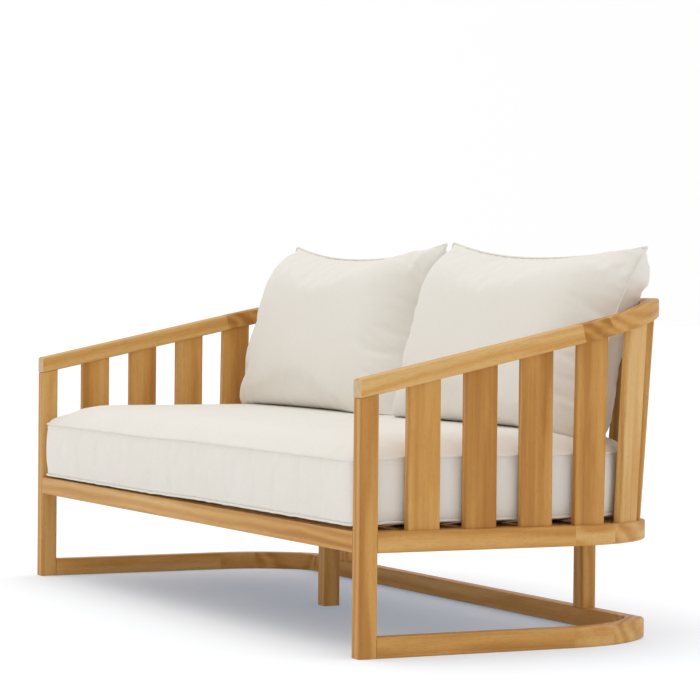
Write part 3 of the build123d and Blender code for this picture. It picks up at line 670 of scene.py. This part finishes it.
def pillow_space(flat, depth, side):
    """Points in the room from places on the leaning knife-edge plane and depths in front of it."""
    upward = (flat[..., 1] - PILLOW_BASE) / (PILLOW_TOP - PILLOW_BASE)
    rightward = (flat[..., 0] / HALF_WIDTH + 1) / 2
    left_lean, right_lean = EAR_LEANS[side]
    settled = np.maximum(depth, 0) * math.sin(LEAN) * np.clip(1 - 3 * upward, 0, 1) ** 1.5
    depth = depth + upward ** 2 * ((1 - rightward) * left_lean + rightward * right_lean)
    x = side * PILLOW_MIDDLE + flat[..., 0]
    y = FOOT_Y + flat[..., 1] * math.sin(LEAN) - depth * math.cos(LEAN)
    z = SEAT_CROWN + 0.001 + flat[..., 1] * math.cos(LEAN) + depth * math.sin(LEAN)
    return np.stack([x, y, z - settled], axis=-1)


upper_corner = pillow_space(np.array([HALF_WIDTH, PILLOW_TOP]), 0.0, 1)
print("upper right corner of the cushions at", upper_corner.round(3).tolist())

# %% [markdown]
# The wood and the seat hold a back cushion in its place. Points that the slats, the top rail or its bends
# would cut are moved in front of them, with less and less effect above the rail, and the lowest part is
# pressed flat on the seat.


# %% Hold a back cushion clear of the wood and the seat
def keep_clear(points):
    """Points kept in front of the slats and the top rail, inside its bends and above the seat."""
    x, y, z = points[:, 0].copy(), points[:, 1].copy(), points[:, 2].copy()
    rail_top = ARM_TOP + ARM_RISE * (y - FRONT)
    low = np.clip((rail_top + FREE_FROM - z) / (FREE_FROM - HELD_TO), 0, 1)
    low = low ** 2 * (3 - 2 * low)
    slat_face = SLAT_FOOT + (z - SEAT_TOP) * SLAT_LEAN
    limit = np.minimum(slat_face, RAIL_FACE) - CLEARANCE
    y = np.where(y > limit, y + (limit - y) * low, y)
    middle_y = RAIL_BEND_Y - SLAT_LEAN * np.clip(rail_top - RAIL_HEIGHT - z, 0, None)
    away_x, away_y = np.abs(x) - RAIL_BEND_X, y - middle_y
    reach = np.hypot(away_x, away_y)
    allowed = RAIL_BEND - CLEARANCE
    outside = (away_x > 0) & (away_y > 0) & (reach > allowed)
    pull = np.where(outside, 1 + (allowed / np.maximum(reach, 1e-6) - 1) * low, 1)
    x = np.sign(x) * np.where(outside, RAIL_BEND_X + away_x * pull, np.abs(x))
    y = np.where(outside, middle_y + away_y * pull, y)
    z = np.maximum(z, seat_height(x, y) + 0.0012)
    return np.stack([x, y, z], axis=1)


def rest_on_seat(points):
    """Points with the lowest few centimetres pressed down, so the underside lies flat on the seat."""
    seat = seat_height(points[:, 0], points[:, 1])
    height = points[:, 2] - seat
    pressed = PRESSED * (height / PRESSED - 0.32) / 0.68
    height = np.where(height < PRESSED, np.maximum(pressed, 0.0012), height)
    return np.column_stack([points[:, :2], seat + height])


print("back cushions stop", CLEARANCE * 1000, "mm short of the wood")

# %% [markdown]
# The two panels share their four edges. Each panel's depth is the product of four crowns, one from each
# edge, so the cushion is thin along its piping and full inside.


# %% Panels of a back cushion
def pillow_shell(side):
    """Front and rear panels of one back cushion, welded along the knife edge."""
    share, rise = [0.6 * even + 0.4 * np.sin(0.5 * math.pi * even) for even in (
        np.linspace(-1, 1, PILLOW_COLUMNS), np.linspace(-1, 1, PILLOW_ROWS))]
    right_top = PILLOW_TOP - (EAR_DROP if side > 0 else 0)
    sagged = (1 - rise ** 2) * (0.78 + 0.32 * rise)
    climb = (rise + 1) / 2
    right_edge, left_edge = [
        np.stack([turn * (HALF_WIDTH - sag * sagged), PILLOW_BASE + climb * (top - PILLOW_BASE)], axis=1)
        for turn, sag, top in ((1, RIGHT_SAG, right_top), (-1, LEFT_SAG, PILLOW_TOP))
    ]
    ears = np.where(share > 0, right_top, PILLOW_TOP)
    sagging = PILLOW_TOP - TOP_SAG
    top_edge = np.stack([share * HALF_WIDTH, sagging + (ears - sagging) * np.abs(share) ** 2.2], axis=1)
    base_edge = np.stack([share * HALF_WIDTH, PILLOW_BASE + BASE_SAG * (1 - share ** 2)], axis=1)
    flat = fill(base_edge, right_edge, top_edge, left_edge)
    left_gap, right_gap = [(1 + turn * share)[None, :] * HALF_WIDTH + 0 * rise[:, None] for turn in (1, -1)]
    base_gap, top_gap = [
        (1 + turn * rise)[:, None] * (PILLOW_TOP - PILLOW_BASE) / 2 + 0 * share[None, :] for turn in (1, -1)
    ]
    gap = np.minimum.reduce([left_gap, right_gap, base_gap, top_gap])
    by_side = np.minimum(left_gap, right_gap) < np.minimum(base_gap, top_gap)
    place = np.where(by_side, flat[..., 1], flat[..., 0])
    panels = []
    front = crown(left_gap, 0.18, 7) * crown(right_gap, 0.34, 5)
    front = front * crown(top_gap, 0.22, 5) * crown(base_gap, 0.07, 9)
    front *= 1 - 0.3 * np.exp(-(left_gap ** 2 + top_gap ** 2) / 0.12 ** 2)
    front *= 1 - 0.12 * np.exp(-base_gap ** 2 / 0.08 ** 2)
    rear = crown(left_gap, 0.19, 8) * crown(right_gap, 0.19, 8)
    rear = rear * crown(top_gap, 0.2, 8) * crown(base_gap, 0.2, 8)
    for depth, fullness, turned in ((FRONT_DEPTH, front, False), (-REAR_DEPTH, rear, True)):
        grid = pillow_space(flat, 0.94 * depth * fullness, side)
        grid = keep_clear(grid.reshape(-1, 3)).reshape(grid.shape)
        panels.append((grid, flat + (2 if turned else 0), gap, place, turned))
    edge = np.concatenate([base_edge[:-1], right_edge[:-1], top_edge[::-1][:-1], left_edge[::-1][:-1]])
    return weld(panels), edge


pillow_shells = {side: pillow_shell(side) for side in (-1, 1)}
print("back cushion panels:", [len(shell["points"]) for shell, edge in pillow_shells.values()], "points")

# %% [markdown]
# Both cushions are blown up as cloth, get their puckers along the piping, and are held clear once more.


# %% Blow up the back cushions
def make_pillow(name, side, seed):
    """One back cushion: shell, blown up, puckered and kept clear, with its piping."""
    shell, edge = pillow_shells[side]
    points = inflate(f"{name}_trial", shell, 0.03, 0.014)
    normals = surface_normals(points, shell["faces"])
    near_seam = np.exp(-shell["gap"] / 0.035) * (1 - np.exp(-shell["gap"] / 0.006))
    ripple = puckers(shell["place"], seed, 0.05)
    points = keep_clear(points + normals * (0.003 * near_seam * ripple)[:, None])
    cover = add_mesh(name, rest_on_seat(points), shell["faces"], cover_cloth, shell["uv"])
    finer = cover.modifiers.new("finer", "SUBSURF")
    finer.levels = finer.render_levels = 1
    closed = np.concatenate([edge[-2:], edge, edge[:2]])
    smooth = (closed[:-4] + 4 * closed[1:-3] + 6 * closed[2:-2] + 4 * closed[3:-1] + closed[4:]) / 16
    path = keep_clear(pillow_space(smooth, 0.0, side))
    facing = np.array([0.0, -math.cos(LEAN), math.sin(LEAN)])
    piping = tube(f"{name}_piping", path, PILLOW_PIPING, -facing, piping_cloth)
    return cover, piping


pillows = {}
for name, side, seed in (("back_cushion_left", -1, 21), ("back_cushion_right", 1, 34)):
    pillows[name] = make_pillow(f"{name}_cover", side, seed)
    print(name, "has", len(pillows[name][0].data.vertices), "points")

# %% [markdown]
# ## Deck screws
# Each deck slat is screwed down to the cleats and bearers under the seat cushion.


# %% Set the deck screws
def screw_heads(places, radius, sink):
    """Round countersunk heads with a four-lobed recess, one at each place, as rings joined in turn."""
    turn = np.linspace(0, 2 * math.pi, 32, endpoint=False)
    lobes = 1 + 0.35 * np.cos(4 * turn)
    reach = [radius * 0.5, radius, radius * 0.96, radius * 0.42 * lobes, radius * 0.34 * lobes, radius * 0.1]
    depth = [-sink, -0.0002, 0.0001, 0.0001, -0.0012, -0.0014]
    rings = np.stack([
        np.stack([np.cos(turn) * ring_reach, np.sin(turn) * ring_reach, 0 * turn + ring_depth], -1)
        for ring_reach, ring_depth in zip(reach, depth)
    ])
    numbers = np.arange(rings.shape[0] * turn.size).reshape(-1, turn.size)
    beside = np.roll(numbers, -1, axis=1)
    faces = np.stack([numbers[:-1], beside[:-1], beside[1:], numbers[1:]], -1).reshape(-1, 4)
    points = places[:, None] + rings.reshape(1, -1, 3)
    shift = np.arange(len(places))[:, None, None] * numbers.size
    return points.reshape(-1, 3), (faces[None] + shift).reshape(-1, 4)


steel = bpy.data.materials.new("screw_steel")
steel.use_nodes = True
steel_shader = steel.node_tree.nodes["Principled BSDF"]
steel_shader.inputs["Metallic"].default_value = 1.0
steel_place = node(steel.node_tree, "ShaderNodeTexCoord").outputs["Object"]
steel_wear = noise(steel.node_tree, steel_place, (900.0, 900.0, 900.0), 3.0, 0.6)
steel_tint = blend(steel.node_tree, steel_wear, (0.62, 0.6, 0.57, 1.0), (0.42, 0.4, 0.37, 1.0))
steel.node_tree.links.new(steel_tint, steel_shader.inputs["Base Color"])
steel_rough = spread(steel.node_tree, steel_wear, 0.3, 0.7, 0.28, 0.45)
steel.node_tree.links.new(steel_rough, steel_shader.inputs["Roughness"])
slat_count, slat_width = 9, 0.062
deck_front, deck_rear = FRONT + 0.038, FRONT + 0.774
slat_gap = (deck_rear - deck_front - slat_count * slat_width) / (slat_count + 1)
slat_y = deck_front + slat_gap + slat_width / 2 + np.arange(slat_count) * (slat_width + slat_gap)
screw_x, screw_y = np.meshgrid(np.array([-0.5, 0.0, 0.5]), slat_y)
screw_places = np.column_stack([screw_x.ravel(), screw_y.ravel(), np.full(screw_x.size, SEAT_TOP + 0.0001)])
deck_screws = add_mesh("deck_screws", *screw_heads(screw_places, 0.0042, 0.003), steel)
print(len(screw_places), "deck screws")

# %% [markdown]
# ## What moves with what
# The covers stand for the three soft solids. Each piece rides on the body that carries it.

# %% Tie the pieces to the solid model
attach(deck_screws, "frame")
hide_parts("seat_cushion")
for name in ("seat_cushion_cover", "seat_piping_upper", "seat_piping_lower"):
    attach(bpy.data.objects[name], "seat_cushion")
for body, (cover, piping) in pillows.items():
    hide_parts(body)
    for piece in (cover, piping):
        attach(piece, body)

# %% Finish
bpy.context.view_layer.update()
